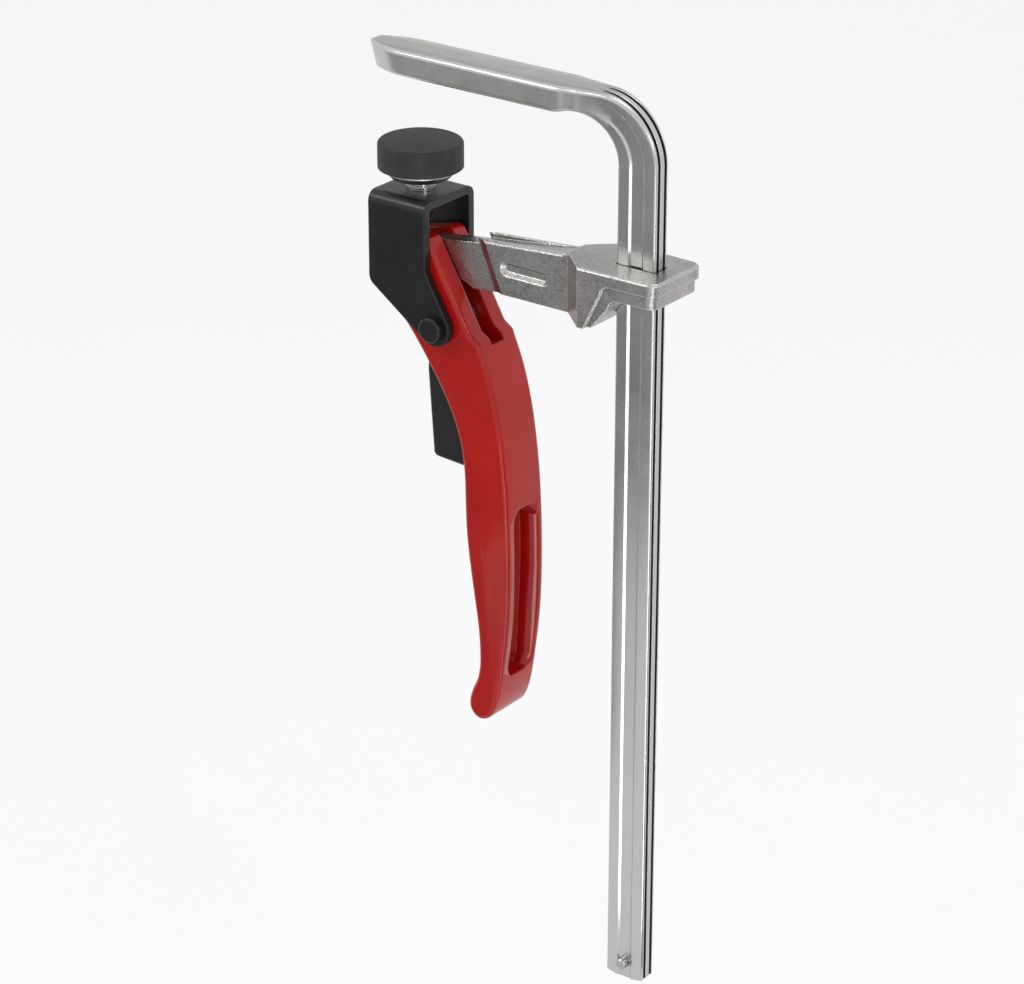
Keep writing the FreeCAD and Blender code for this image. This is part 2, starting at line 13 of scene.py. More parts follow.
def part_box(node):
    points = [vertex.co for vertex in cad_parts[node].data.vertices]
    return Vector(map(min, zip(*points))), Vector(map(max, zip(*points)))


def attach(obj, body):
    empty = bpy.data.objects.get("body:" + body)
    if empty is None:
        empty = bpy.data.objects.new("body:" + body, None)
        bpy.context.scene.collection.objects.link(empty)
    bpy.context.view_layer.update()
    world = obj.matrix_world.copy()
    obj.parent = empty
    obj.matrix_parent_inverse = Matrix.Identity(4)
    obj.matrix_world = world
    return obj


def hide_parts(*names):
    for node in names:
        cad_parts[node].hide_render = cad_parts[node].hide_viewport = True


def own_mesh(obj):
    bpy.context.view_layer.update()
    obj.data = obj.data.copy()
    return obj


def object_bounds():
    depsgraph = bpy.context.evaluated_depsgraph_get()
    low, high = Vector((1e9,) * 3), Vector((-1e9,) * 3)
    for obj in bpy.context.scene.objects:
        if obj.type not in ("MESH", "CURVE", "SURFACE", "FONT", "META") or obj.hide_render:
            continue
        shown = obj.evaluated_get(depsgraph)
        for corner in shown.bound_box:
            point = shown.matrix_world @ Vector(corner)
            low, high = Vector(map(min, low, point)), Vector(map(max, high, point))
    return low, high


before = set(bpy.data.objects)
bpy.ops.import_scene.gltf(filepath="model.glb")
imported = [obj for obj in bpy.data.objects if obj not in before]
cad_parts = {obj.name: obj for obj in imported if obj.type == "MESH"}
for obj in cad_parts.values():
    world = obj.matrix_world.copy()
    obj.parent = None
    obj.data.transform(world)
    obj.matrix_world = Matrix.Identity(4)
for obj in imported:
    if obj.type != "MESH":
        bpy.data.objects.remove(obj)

LOG = logging.getLogger("clamp")
MM = 0.001
SAME_POINT = 0.002 * MM
CAD_LOW, CAD_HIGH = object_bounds()
Colour = tuple[float, float, float]


class Axis(Enum):
    """Direction that a piece was turned, drawn or pressed along."""

    X = 0
    Y = 1
    Z = 2


class Signal:
    """A node's output, with the sums that a finish or a shape is written in."""

    def __init__(self, tree: bpy.types.NodeTree, socket: bpy.types.NodeSocket) -> None:
        """Keep the socket and the tree it belongs to."""
        self.tree = tree
        self.socket = socket

    def _math(self, operation: str, *others: "Signal | float", clamp: bool = False) -> "Signal":
        """Add a Math node.

        Args:
            operation: The Math node's operation.
            others: The second and third inputs.
            clamp: Whether the result is kept between 0 and 1.

        Returns:
            The node's result.
        """
        node = self.tree.nodes.new("ShaderNodeMath")
        node.operation = operation
        node.use_clamp = clamp
        for socket, value in zip(node.inputs, (self, *others)):
            if isinstance(value, Signal):
                self.tree.links.new(value.socket, socket)
            else:
                socket.default_value = value
        return Signal(self.tree, node.outputs[0])

    def _flipped(self, operation: str, other: float) -> "Signal":
        """Add a Math node whose first input is a plain number."""
        node = self.tree.nodes.new("ShaderNodeMath")
        node.operation = operation
        node.inputs[0].default_value = other
        self.tree.links.new(self.socket, node.inputs[1])
        return Signal(self.tree, node.outputs[0])

    def __add__(self, other: "Signal | float") -> "Signal":
        """Sum."""
        return self._math("ADD", other)

    def __radd__(self, other: float) -> "Signal":
        """Sum, number first."""
        return self._flipped("ADD", other)

    def __sub__(self, other: "Signal | float") -> "Signal":
        """Difference."""
        return self._math("SUBTRACT", other)

    def __rsub__(self, other: float) -> "Signal":
        """Difference, number first."""
        return self._flipped("SUBTRACT", other)

    def __mul__(self, other: "Signal | float") -> "Signal":
        """Product."""
        return self._math("MULTIPLY", other)

    def __rmul__(self, other: float) -> "Signal":
        """Product, number first."""
        return self._flipped("MULTIPLY", other)

    def __truediv__(self, other: "Signal | float") -> "Signal":
        """Quotient."""
        return self._math("DIVIDE", other)

    def __pow__(self, other: "Signal | float") -> "Signal":
        """Power."""
        return self._math("POWER", other)

    def sine(self) -> "Signal":
        """Sine of an angle in radians."""
        return self._math("SINE")

    def cosine(self) -> "Signal":
        """Cosine of an angle in radians."""
        return self._math("COSINE")

    def split(self) -> tuple["Signal", "Signal", "Signal"]:
        """The three parts of a vector."""
        node = self.tree.nodes.new("ShaderNodeSeparateXYZ")
        self.tree.links.new(self.socket, node.inputs[0])
        return tuple(Signal(self.tree, output) for output in node.outputs)

    def clamped(self) -> "Signal":
        """The same, kept between 0 and 1."""
        return self._math("ADD", 0.0, clamp=True)

    def between(self, low: float, high: float) -> "Signal":
        """0 below low, 1 above high and even in between."""
        return ((self - low) / (high - low)).clamped()


Value = Signal | float | int | bool | tuple | bpy.types.ID


class Graph:
    """A node tree under construction."""

    def __init__(self, tree: bpy.types.NodeTree) -> None:
        """Start from an empty tree."""
        self.tree = tree
        tree.nodes.clear()

    def add(self, kind: str, settings: dict[str, Any] | None = None,
            inputs: dict[str | int, Value] | None = None) -> bpy.types.Node:
        """Add one node.

        Args:
            kind: The node's type.
            settings: Its properties, set first; "stops" holds a ramp's positions and colours.
            inputs: Values or links of its sockets, by name or number.

        Returns:
            The node.
        """
        node = self.tree.nodes.new(kind)
        for name, value in (settings or {}).items():
            if name == "stops":
                self._set_stops(node, value)
            else:
                setattr(node, name, value)
        for name, value in (inputs or {}).items():
            socket = node.inputs[name]
            if isinstance(value, Signal):
                self.tree.links.new(value.socket, socket)
            else:
                socket.default_value = value
        return node

    @staticmethod
    def _set_stops(node: bpy.types.Node, stops: Iterable[tuple[float, tuple]]) -> None:
        """Give a Color Ramp its stops."""
        elements = node.color_ramp.elements
        for index, (place, colour) in enumerate(stops):
            stop = elements[index] if index < len(elements) else elements.new(place)
            stop.position = place
            stop.color = colour

    def out(self, node: bpy.types.Node, name: str | int = 0) -> Signal:
        """One of a node's outputs, by name or number."""
        return Signal(self.tree, node.outputs[name])


class Surface(Graph):
    """A material's tree, with the patterns that several finishes share."""

    def __init__(self, name: str) -> None:
        """Make the material and its shader."""
        self.material = bpy.data.materials.new(name)
        self.material.use_nodes = True
        super().__init__(self.material.node_tree)
        place = self.add("ShaderNodeTexCoord")
        self.place = self.out(place, "Object")
        self.shader = self.add("ShaderNodeBsdfPrincipled")
        end = self.add("ShaderNodeOutputMaterial")
        self.tree.links.new(self.shader.outputs[0], end.inputs["Surface"])

    def stretched(self, scale: Colour, turn: Colour = (0.0, 0.0, 0.0)) -> Signal:
        """Object coordinates scaled by axis, and turned by angles in radians."""
        mapping = self.add("ShaderNodeMapping", {"vector_type": "POINT"},
                           {"Vector": self.place, "Scale": scale, "Rotation": turn})
        return self.out(mapping)

    def noise(self, size: float, detail: float = 3.0, rough: float = 0.5,
              where: Signal | None = None) -> Signal:
        """Noise with blotches of about the given size in metres, or of 1 in a stretched place."""
        scale = 1.0 if where else 1.0 / size
        node = self.add("ShaderNodeTexNoise", {"noise_dimensions": "3D"},
                        {"Vector": where or self.place, "Scale": scale, "Detail": detail,
                         "Roughness": rough})
        return self.out(node, 0)

    def cells(self, size: float, feature: str = "F1") -> Signal:
        """Distance to the nearest of points scattered at about the given spacing."""
        node = self.add("ShaderNodeTexVoronoi", {"feature": feature},
                        {"Vector": self.place, "Scale": 1.0 / size})
        return self.out(node, "Distance")

    def edge_mask(self, radius: float) -> Signal:
        """1 where the surface turns sharply within the radius, 0 on flats."""
        bevel = self.add("ShaderNodeBevel", {"samples": 4}, {"Radius": radius})
        shape = self.add("ShaderNodeNewGeometry")
        dot = self.add("ShaderNodeVectorMath", {"operation": "DOT_PRODUCT"},
                       {0: self.out(bevel), 1: self.out(shape, "Normal")})
        return (1.0 - self.out(dot, "Value")).between(0.01, 0.12)

    def hollows(self, reach: float) -> Signal:
        """1 deep in grooves and corners narrower than the reach, 0 in the open."""
        shade = self.add("ShaderNodeAmbientOcclusion", {"samples": 6, "only_local": True},
                         {"Distance": reach})
        return (1.0 - self.out(shade, "AO")).between(0.12, 0.62)

    def mixed(self, factor: Signal | float, first: Colour | Signal, second: Colour | Signal) -> Signal:
        """Blend of two colours."""
        node = self.add("ShaderNodeMix", {"data_type": "RGBA", "blend_type": "MIX"})
        for index, value in ((0, factor), (6, first), (7, second)):
            if isinstance(value, Signal):
                self.tree.links.new(value.socket, node.inputs[index])
            elif index:
                node.inputs[index].default_value = (*value, 1.0)
            else:
                node.inputs[index].default_value = value
        return self.out(node, 2)

    def relief(self, height: Signal, depth: float, under: Signal | None = None,
               strength: float = 1.0) -> Signal:
        """Normal of a height between 0 and 1 that stands for a depth in metres."""
        inputs: dict[str | int, Value] = {"Height": height, "Distance": depth, "Strength": strength}
        if under:
            inputs["Normal"] = under
        return self.out(self.add("ShaderNodeBump", None, inputs))

    def eased(self, radius: float) -> Signal:
        """Normal that rounds every edge over the radius."""
        return self.out(self.add("ShaderNodeBevel", {"samples": 6}, {"Radius": radius}))

    def finish(self, varying: dict[str, Signal], **steady: float | Colour) -> bpy.types.Material:
        """Connect what varies, set what doesn't and return the material.

        Args:
            varying: Shader inputs that change over the surface.
            steady: Shader inputs that don't, with _ for spaces.

        Returns:
            The material.
        """
        for name, signal in varying.items():
            self.tree.links.new(signal.socket, self.shader.inputs[name])
        for name, value in steady.items():
            socket = self.shader.inputs[name.replace("_", " ")]
            socket.default_value = (*value, 1.0) if isinstance(value, tuple) else value
        return self.material


@dataclass(frozen=True)
class DrawnSteel:
    """Satin plate on the forged bar: faint lines along it, dull blotches, painted shade in its grooves and
    corners, and its outer channels painted black as shade and dark reflection.
    """

    name: str = "satin_plated_bar"
    base: Colour = (0.53, 0.527, 0.517)
    rubbed: Colour = (0.84, 0.84, 0.83)
    # Colour of the painted shade in grooves and corners.
    painted_hollow_shade: Colour = (0.09, 0.088, 0.085)
    # Colour that the outer channels are painted, standing in for shade and dark reflection.
    black: Colour = (0.010, 0.010, 0.010)
    bend_middle: tuple[float, float] = (0.0, 0.0)
    bend_radius: float = 0.016
    channel_at: float = 0.00125
    roughness: float = 0.25
    line_size: float = 0.00022
    line_length: float = 45.0
    edge: float = 0.00022
    groove: float = 0.0012
    arm_from: float = -0.010
    arm_full: float = -0.003

    def drawn_lines(self, s: Surface) -> Signal:
        """Fine lines that run down the bar and, above the bend, out along the fixed arm."""
        fine = 1 / self.line_size
        slow = fine / self.line_length
        down = s.noise(1.0, 4.0, 0.6, s.stretched((fine, fine, slow)))
        out = s.noise(1.0, 4.0, 0.6, s.stretched((slow, fine, fine)))
        split = s.add("ShaderNodeSeparateXYZ", None, {"Vector": s.place})
        share = s.out(split, "Z").between(self.arm_from, self.arm_full)
        return down + (out - down) * share

    def painted_channel_shade(self, s: Surface) -> Signal:
        """Mask of the two channels of the outer narrow side, on round the bend, painted black as shade and
        dark reflection.
        """
        split = s.add("ShaderNodeSeparateXYZ", None, {"Vector": s.place})
        across = s.out(split, "X") - self.bend_middle[0]
        rise = (s.out(split, "Z") - self.bend_middle[1]).between(0.0, 1.0)
        depth = self.bend_radius - (across ** 2.0 + rise ** 2.0) ** 0.5
        aside = (s.out(split, "Y") ** 2.0) ** 0.5 - self.channel_at
        inside = 1.0 - ((aside ** 2.0) ** 0.5).between(0.00046, 0.00056)
        return inside * depth.between(0.00002, 0.00008) * (1.0 - depth.between(0.0008, 0.0010))

    def material(self) -> bpy.types.Material:
        """Build the material."""
        s = Surface(self.name)
        lines = self.drawn_lines(s)
        # Painted shade and dark reflection: the outer channels made black.
        black = self.painted_channel_shade(s)
        blotches = s.noise(0.010, 4.0, 0.6)
        frost = s.noise(0.0004, 3.0, 0.6)
        pits = s.cells(0.0011).between(0.02, 0.14)
        edges = s.edge_mask(self.edge)
        # Painted shade: darker in grooves and corners, from an occlusion mask.
        painted_hollow_shade = s.hollows(self.groove)
        tone = (blotches * 0.5 + lines * 0.3 + frost * 0.2).clamped()
        colour = s.mixed(tone, tuple(0.84 * c for c in self.base), tuple(1.12 * c for c in self.base))
        colour = s.mixed(edges * 0.7, colour, self.rubbed)
        colour = s.mixed(painted_hollow_shade * 0.85, colour, self.painted_hollow_shade)
        colour = s.mixed(black, colour, self.black)
        rough = self.roughness + (blotches - 0.5) * 0.18 + (frost - 0.5) * 0.10 + painted_hollow_shade * 0.2 - edges * 0.08
        rough = rough + black * 0.3
        height = lines * 0.45 + frost * 0.25 + pits * 0.3
        normal = s.relief(height, 0.000012, s.eased(self.edge))
        return s.finish({"Base Color": colour, "Roughness": rough, "Normal": normal}, Metallic=1.0)


@dataclass(frozen=True)
class GrainyCasting:
    """Plated casting: sandy glittering grain, shallow dents, dark pits, painted shade in its hollows and
    bright tumbled edges.
    """

    name: str = "grainy_casting"
    base: Colour = (0.40, 0.393, 0.382)
    bright: Colour = (0.84, 0.84, 0.82)
    # Colour of the dark pits and of the painted shade in hollows.
    pits_and_painted_shade: Colour = (0.10, 0.096, 0.092)
    roughness: float = 0.30
    grain: float = 0.00055
    edge: float = 0.0005
    relief: float = 0.00010

    def material(self) -> bpy.types.Material:
        """Build the material."""
        s = Surface(self.name)
        grain = s.noise(self.grain, 4.0, 0.7)
        lumps = s.noise(0.0022, 3.0, 0.55)
        patches = s.noise(0.009, 3.0, 0.5)
        pits = 1.0 - s.cells(0.0015).between(0.08, 0.26)
        edges = s.edge_mask(self.edge)
        # Painted shade: darker in hollows and corners, from an occlusion mask.
        painted_hollow_shade = s.hollows(0.0016)
        tone = (patches * 0.35 + grain * 0.65).between(0.3, 0.7)
        colour = s.mixed(tone, tuple(0.62 * c for c in self.base), tuple(1.3 * c for c in self.base))
        colour = s.mixed((pits * 0.35 + painted_hollow_shade * 0.7).clamped(), colour, self.pits_and_painted_shade)
        colour = s.mixed(edges * 0.8, colour, self.bright)
        rough = self.roughness + (grain - 0.5) * 0.3 + (patches - 0.5) * 0.14 + pits * 0.12 - edges * 0.1
        height = grain * 0.5 + lumps * 0.8 - pits * 0.35
        normal = s.relief(height, self.relief, s.eased(self.edge))
        return s.finish({"Base Color": colour, "Roughness": rough, "Normal": normal}, Metallic=1.0)


@dataclass(frozen=True)
class GlossLacquer:
    """Gloss lacquer over a die casting: faint ripple, and painted shade that darkens it in the hollows."""

    name: str = "red_gloss_lacquer"
    base: Colour = (0.43, 0.0065, 0.0050)
    # Darker red for the random tone and for the painted shade in hollows.
    deep: Colour = (0.30, 0.0040, 0.0032)
    thin: Colour = (0.56, 0.020, 0.015)
    roughness: float = 0.10
    edge: float = 0.0007

    def material(self) -> bpy.types.Material:
        """Build the material."""
        s = Surface(self.name)
        ripple = s.noise(0.0034, 2.0, 0.4)
        peel = s.noise(0.0008, 2.0, 0.5)
        tone = s.noise(0.022, 3.0, 0.5)
        handled = s.noise(0.006, 4.0, 0.6)
        dust = 1.0 - s.cells(0.0030).between(0.025, 0.05)
        edges = s.edge_mask(self.edge)
        # Painted shade: darker in hollows and corners, from an occlusion mask.
        painted_recess_shade = s.hollows(0.003)
        colour = s.mixed((tone.between(0.3, 0.7) * 0.6 + painted_recess_shade * 0.5).clamped(), self.base, self.deep)
        colour = s.mixed(edges * 0.22, colour, self.thin)
        rough = self.roughness + (ripple - 0.5) * 0.05 + handled.between(0.5, 0.75) * 0.10 + dust * 0.10
        height = ripple * 0.8 + peel * 0.2 + dust * 0.2
        normal = s.relief(height, 0.000028, s.eased(self.edge))
        return s.finish({"Base Color": colour, "Roughness": rough, "Normal": normal},
                        Specular_IOR_Level=0.36)


@dataclass(frozen=True)
class BlackEnamel:
    """Black enamel on pressed steel, rubbed to a soft sheen along its edges."""

    name: str = "black_enamel"
    base: Colour = (0.0060, 0.0060, 0.0066)
    worn: Colour = (0.050, 0.050, 0.052)
    roughness: float = 0.26
    grain: float = 0.0006
    edge: float = 0.0005

    def material(self) -> bpy.types.Material:
        """Build the material."""
        s = Surface(self.name)
        grain = s.noise(self.grain, 3.0, 0.55)
        patches = s.noise(0.006, 3.0, 0.5)
        handled = s.noise(0.0025, 4.0, 0.6)
        edges = s.edge_mask(self.edge)
        colour = s.mixed(patches, self.base, tuple(1.8 * c for c in self.base))
        colour = s.mixed(edges * handled.between(0.35, 0.6) * 0.5, colour, self.worn)
        rough = self.roughness + (patches - 0.5) * 0.14 + (grain - 0.5) * 0.12 + handled * 0.06
        normal = s.relief(grain * 0.5 + patches * 0.5, 0.000018, s.eased(self.edge))
        return s.finish({"Base Color": colour, "Roughness": rough, "Normal": normal},
                        Specular_IOR_Level=0.38)


@dataclass(frozen=True)
class SparkedPlastic:
    """Moulded plastic with a fine spark-eroded texture, polished where a finger squeezes it."""

    name: str = "sparked_black_plastic"
    base: Colour = (0.0080, 0.0080, 0.0088)
    roughness: float = 0.36
    grain: float = 0.00028

    def material(self) -> bpy.types.Material:
        """Build the material."""
        s = Surface(self.name)
        grain = s.noise(self.grain, 2.0, 0.6)
        polish = s.noise(0.011, 2.0, 0.5)
        colour = s.mixed(polish, self.base, tuple(1.5 * c for c in self.base))
        rough = self.roughness + (grain - 0.5) * 0.14 - polish.between(0.45, 0.75) * 0.12
        normal = s.relief(grain, 0.000014, s.eased(0.0004))
        return s.finish({"Base Color": colour, "Roughness": rough, "Normal": normal},
                        Specular_IOR_Level=0.4)


@dataclass(frozen=True)
class CapRubber:
    """Matt soft cap with mould bloom and rub marks on its face."""

    name: str = "soft_cap"
    base: Colour = (0.012, 0.012, 0.0125)
    bloom: Colour = (0.036, 0.036, 0.036)

    def material(self) -> bpy.types.Material:
        """Build the material."""
        s = Surface(self.name)
        grain = s.noise(0.0005, 4.0, 0.6)
        bloom = s.noise(0.005, 4.0, 0.6)
        colour = s.mixed(bloom.between(0.45, 0.8), self.base, self.bloom)
        rough = 0.66 + (grain - 0.5) * 0.2 + bloom * 0.1
        normal = s.relief(grain * 0.7 + bloom * 0.3, 0.00003, s.eased(0.0003))
        return s.finish({"Base Color": colour, "Roughness": rough, "Normal": normal})


@dataclass(frozen=True)
class TurnedSteel:
    """Bright steel with the fine rings that turning leaves about an axis."""

    name: str
    about: Axis
    centre: tuple[float, float] = (0.0, 0.0)
    base: Colour = (0.55, 0.55, 0.54)
    roughness: float = 0.22
    ring: float = 0.00012

    def material(self) -> bpy.types.Material:
        """Build the material."""
        s = Surface(self.name)
        split = s.add("ShaderNodeSeparateXYZ", None, {"Vector": s.place})
        across = [i for i in range(3) if i != self.about.value]
        first = s.out(split, across[0]) - self.centre[0]
        second = s.out(split, across[1]) - self.centre[1]
        radius = (first * first + second * second) ** 0.5
        wander = s.noise(0.0016, 3.0, 0.5)
        rings = (radius * (2 * math.pi / self.ring) + wander * 3.0).sine() * 0.5 + 0.5
        stain = s.noise(0.003, 3.0, 0.5)
        colour = s.mixed(stain * 0.7 + rings * 0.3, tuple(0.8 * c for c in self.base),
                         tuple(1.15 * c for c in self.base))
        rough = self.roughness + (stain - 0.5) * 0.14 + rings * 0.05
        normal = s.relief(rings * 0.6 + stain * 0.4, 0.000004, s.eased(0.0002))
        return s.finish({"Base Color": colour, "Roughness": rough, "Normal": normal}, Metallic=1.0)


def dress(node: str, material: bpy.types.Material) -> bpy.types.Object:
    """Give a solid its material and log it.

    Args:
        node: The solid's node.
        material: What it is finished in.

    Returns:
        The solid.
    """
    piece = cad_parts[node]
    piece.data.materials.clear()
    piece.data.materials.append(material)
    LOG.info("%s dressed in %s", node, material.name)
    return piece


def linked(name: str, mesh: bpy.types.Mesh) -> bpy.types.Object:
    """Put a mesh in the scene as an object at the origin."""
    piece = bpy.data.objects.new(name, mesh)
    bpy.context.scene.collection.objects.link(piece)
    return piece


def carry(mesh: bpy.types.Mesh, name: str, vectors: list[tuple[float, float, float]]) -> None:
    """Give each point of a mesh a vector to carry."""
    attribute = mesh.attributes.new(name, "FLOAT_VECTOR", "POINT")
    attribute.data.foreach_set("vector", [part for vector in vectors for part in vector])


def grown(name: str, tree: bpy.types.NodeTree, sizes: dict[str, float],
          holder: bpy.types.Object | None = None) -> bpy.types.Object:
    """Run a geometry tree and keep its result as a plain mesh.

    Args:
        name: The piece's name.
        tree: The geometry tree.
        sizes: Values of its inputs, by name.
        holder: Object whose mesh the tree starts from, which is used up.

    Returns:
        The finished piece, at the origin.
    """
    holder = holder or linked(name + "_holder", bpy.data.meshes.new(name + "_holder"))
    modifier = holder.modifiers.new("grow", "NODES")
    modifier.node_group = tree
    keys = {item.name: item.identifier for item in tree.interface.items_tree if item.in_out == "INPUT"}
    for label, value in sizes.items():
        modifier[keys[label]] = value
    ready = holder.evaluated_get(bpy.context.evaluated_depsgraph_get())
    mesh = bpy.data.meshes.new_from_object(ready)
    mesh.name = name
    bpy.data.objects.remove(holder)
    return linked(name, mesh)


def smoothed(node: str, name: str, body: str, material: bpy.types.Material,
             crease: float) -> bpy.types.Object:
    """Stand a copy of a solid in its place, joined up and shaded round.

    Args:
        node: The solid's node.
        name: The copy's name.
        body: The body that it rides on.
        material: What it is finished in.
        crease: Least angle in degrees that stays an edge.

    Returns:
        The copy.
    """
    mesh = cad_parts[node].data.copy()
    mesh.name = name
    joined = bmesh.new()
    joined.from_mesh(mesh)
    bmesh.ops.remove_doubles(joined, verts=joined.verts, dist=SAME_POINT)
    level = math.radians(0.2)
    flat = [e for e in joined.edges if len(e.link_faces) == 2 and e.calc_face_angle() < level]
    bmesh.ops.dissolve_edges(joined, edges=flat, use_verts=False)
    joined.to_mesh(mesh)
    joined.free()
    mesh.materials.clear()
    mesh.materials.append(material)
    mesh.shade_smooth()
    mesh.set_sharp_from_angle(angle=math.radians(crease))
    piece = linked(name, mesh)
    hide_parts(node)
    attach(piece, body)
    LOG.info("%s stands for %s in %s", name, node, material.name)
    return piece


@dataclass(frozen=True)
class Ring:
    """One section of the bar, square to its path."""

    x: float
    z: float
    turn: float
    width: float
    thickness: float
    corner: float = 1.0
    groove: float = 0.0
    outer: float = 0.0
    inner: float = 0.0
    bow: float = 0.0
    rake: float = 0.0

    @property
    def gather(self) -> float:
        """How far the points of the flats draw together, so that they stay between the corners."""
        wide_reach, narrow_reach = 2.15 * MM, 1.8 * MM
        return min(1.0, 0.6 * self.width / 2 / wide_reach, 0.72 * self.thickness / 2 / narrow_reach)


@dataclass
class Bar:
    """Forged bar, swept along its bend and drawn out into the fixed arm, with its stop pin."""

    steel: DrawnSteel = field(default_factory=DrawnSteel)
    width: float = 11.0 * MM
    thickness: float = 5.0 * MM
    corner: float = 1.1 * MM
    bar_corner: float = 0.6
    groove_mouth: float = 4.3 * MM
    groove_floor: float = 3.2 * MM
    groove_depth: float = 0.43 * MM
    edge_groove_at: float = 1.25 * MM
    edge_groove_mouth: float = 1.1 * MM
    edge_groove_floor: float = 0.35 * MM
    edge_groove_depth: float = 0.45 * MM
    end_bow: float = 1.0 * MM
    arm_width: float = 11.4 * MM
    arm_height: float = 6.5 * MM
    arm_relief: float = 0.9 * MM
    face_end: float = 43.0 * MM
    nose: float = 11.5 * MM
    tip_radius: float = 3.0 * MM
    rake: float = 1.9 * MM
    outer_radius: float = 16.0 * MM
    inner_radius: float = 11.5 * MM
    crease: float = 24.0

    def bend_rings(self, outside: float) -> list[Ring]:
        """Sections round the bend, from the bar's to the arm's, on rays from its inner centre.

        Args:
            outside: X of the bar's outer side.

        Returns:
            The sections.
        """
        centre = Vector((outside - self.width - self.inner_radius, self.arm_relief - self.inner_radius))
        shift = Vector((outside - self.outer_radius, self.arm_height - self.outer_radius)) - centre
        rings = []
        for degrees in range(0, 91, 5):
            turn = math.radians(degrees)
            ray = Vector((math.cos(turn), math.sin(turn)))
            along = shift.dot(ray)
            reach = along + math.sqrt(along ** 2 - shift.length_squared + self.outer_radius ** 2)
            if reach * ray.x < shift.x:
                reach = (self.arm_height - centre.y) / ray.y
            middle = centre + ray * (reach + self.inner_radius) / 2
            rings.append(Ring(
                middle.x, middle.y, turn, reach - self.inner_radius,
                self.thickness + (self.arm_width - self.thickness) * 0.74 * (degrees / 90) ** 2.0,
                self.bar_corner + (1 - self.bar_corner) * degrees / 90,
                max(0.0, 1 - (degrees / 72) ** 2), max(0.0, 1 - (degrees / 75) ** 2),
                max(0.0, 1 - (degrees / 45) ** 2)))
        return rings

    def arm_rings(self, tip: float) -> list[Ring]:
        """Sections from the bend to the fixed arm's nose, which narrows along two arcs.

        Args:
            tip: X of the nose's lower end.

        Returns:
            The sections.
        """
        rings = []
        swell = ((4.0, 0.79, 0.90), (2.6, 0.90, 0.50), (1.2, 0.97, 0.14), (0.0, 1.0, 0.0))
        for back, share, relief in swell:
            low = relief * self.arm_relief
            wide = self.thickness + (self.arm_width - self.thickness) * share
            rings.append(Ring(self.face_end + back * MM, (self.arm_height + low) / 2, math.pi / 2,
                              self.arm_height - low, wide))
        half = self.arm_width / 2
        run = self.nose - self.tip_radius
        flank = (run ** 2 + half ** 2 - self.tip_radius ** 2) / (2 * (half - self.tip_radius))
        join = self.tip_radius * (1 - run / math.hypot(run, flank - half))
        steps = (1.0, 0.75, 0.55, 0.38, 0.25, 0.16, 0.11, 0.08, 0.055, 0.035, 0.02, 0.01, 0.004, 0.001, 0.0)
        for share in steps:
            out = self.nose * share
            if out < join:
                reach = math.sqrt(max(0.0, self.tip_radius ** 2 - (self.tip_radius - out) ** 2))
            else:
                reach = half - flank + math.sqrt(flank ** 2 - (self.nose - out) ** 2)
            short = max(0.0, self.corner - out)
            cut = self.corner - math.sqrt(self.corner ** 2 - short ** 2)
            reach = max(reach, 0.02 * MM)
            rounding = min(1.0, 0.25 * reach / self.corner, 1 - 0.7 * short / self.corner)
            rings.append(Ring(tip + out, self.arm_height / 2, math.pi / 2, self.arm_height - 2 * cut,
                              2 * reach, rounding, rake=1.0))
        return rings

    def rings(self) -> list[Ring]:
        """Every section, from the bar's lower end to the tip of the fixed arm."""
        low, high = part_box("clamp_bar")
        x = high.x - self.width / 2
        top = self.arm_relief - self.inner_radius
        straight = dict(turn=0.0, width=self.width, thickness=self.thickness,
                        corner=self.bar_corner, groove=1.0, outer=1.0, inner=1.0)
        rings = [Ring(x, low.z, bow=1.0, **straight), Ring(x, low.z + 3 * MM, **straight)]
        steps = 12
        rings += [Ring(x, low.z + (top - low.z) * i / steps, **straight) for i in range(1, steps)]
        return rings + self.bend_rings(high.x) + self.arm_rings(low.x + self.rake)

    def path(self) -> bpy.types.Object:
        """The sections' middles as a chain of points that carry their sizes."""
        rings = self.rings()
        mesh = bpy.data.meshes.new("bar_path")
        mesh.from_pydata([(r.x, 0, r.z) for r in rings], [(i, i + 1) for i in range(len(rings) - 1)], [])
        carry(mesh, "place", [(r.x, r.z, r.bow) for r in rings])
        carry(mesh, "across", [(math.cos(r.turn), math.sin(r.turn), r.rake) for r in rings])
        carry(mesh, "size", [(r.width / 2, r.thickness / 2, r.corner) for r in rings])
        carry(mesh, "runout", [(r.groove, r.outer, r.inner) for r in rings])
        carry(mesh, "flats", [(r.gather, r.gather, r.gather) for r in rings])
        return linked("bar_path", mesh)

